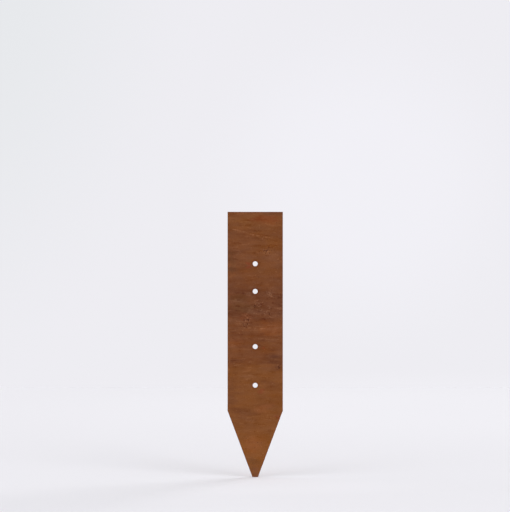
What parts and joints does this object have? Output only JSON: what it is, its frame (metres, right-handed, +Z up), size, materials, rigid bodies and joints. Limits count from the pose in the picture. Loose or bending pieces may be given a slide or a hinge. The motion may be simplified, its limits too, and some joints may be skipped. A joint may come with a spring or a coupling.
{
  "type": "tapered garden stake",
  "caption": "Flat weathering-steel garden stake with a square head, parallel sides, a tapered point and a row of round screw holes, driven into soil to hold edging or a panel.",
  "frame": {"origin": "middle of the blunt tip's end, where the stake meets the ground, at half the plate's thickness", "axes": "+Z up along the stake from the tip to the head, +X across its width to the right as pictured, +Y through its thickness, away from the pictured face"},
  "size_m": [0.05, 0.003, 0.24],
  "materials": {
    "weathering_steel": "matte"
  },
  "bodies": {
    "root": {"stake_plate": "weathering_steel"}
  },
  "joints": []
}
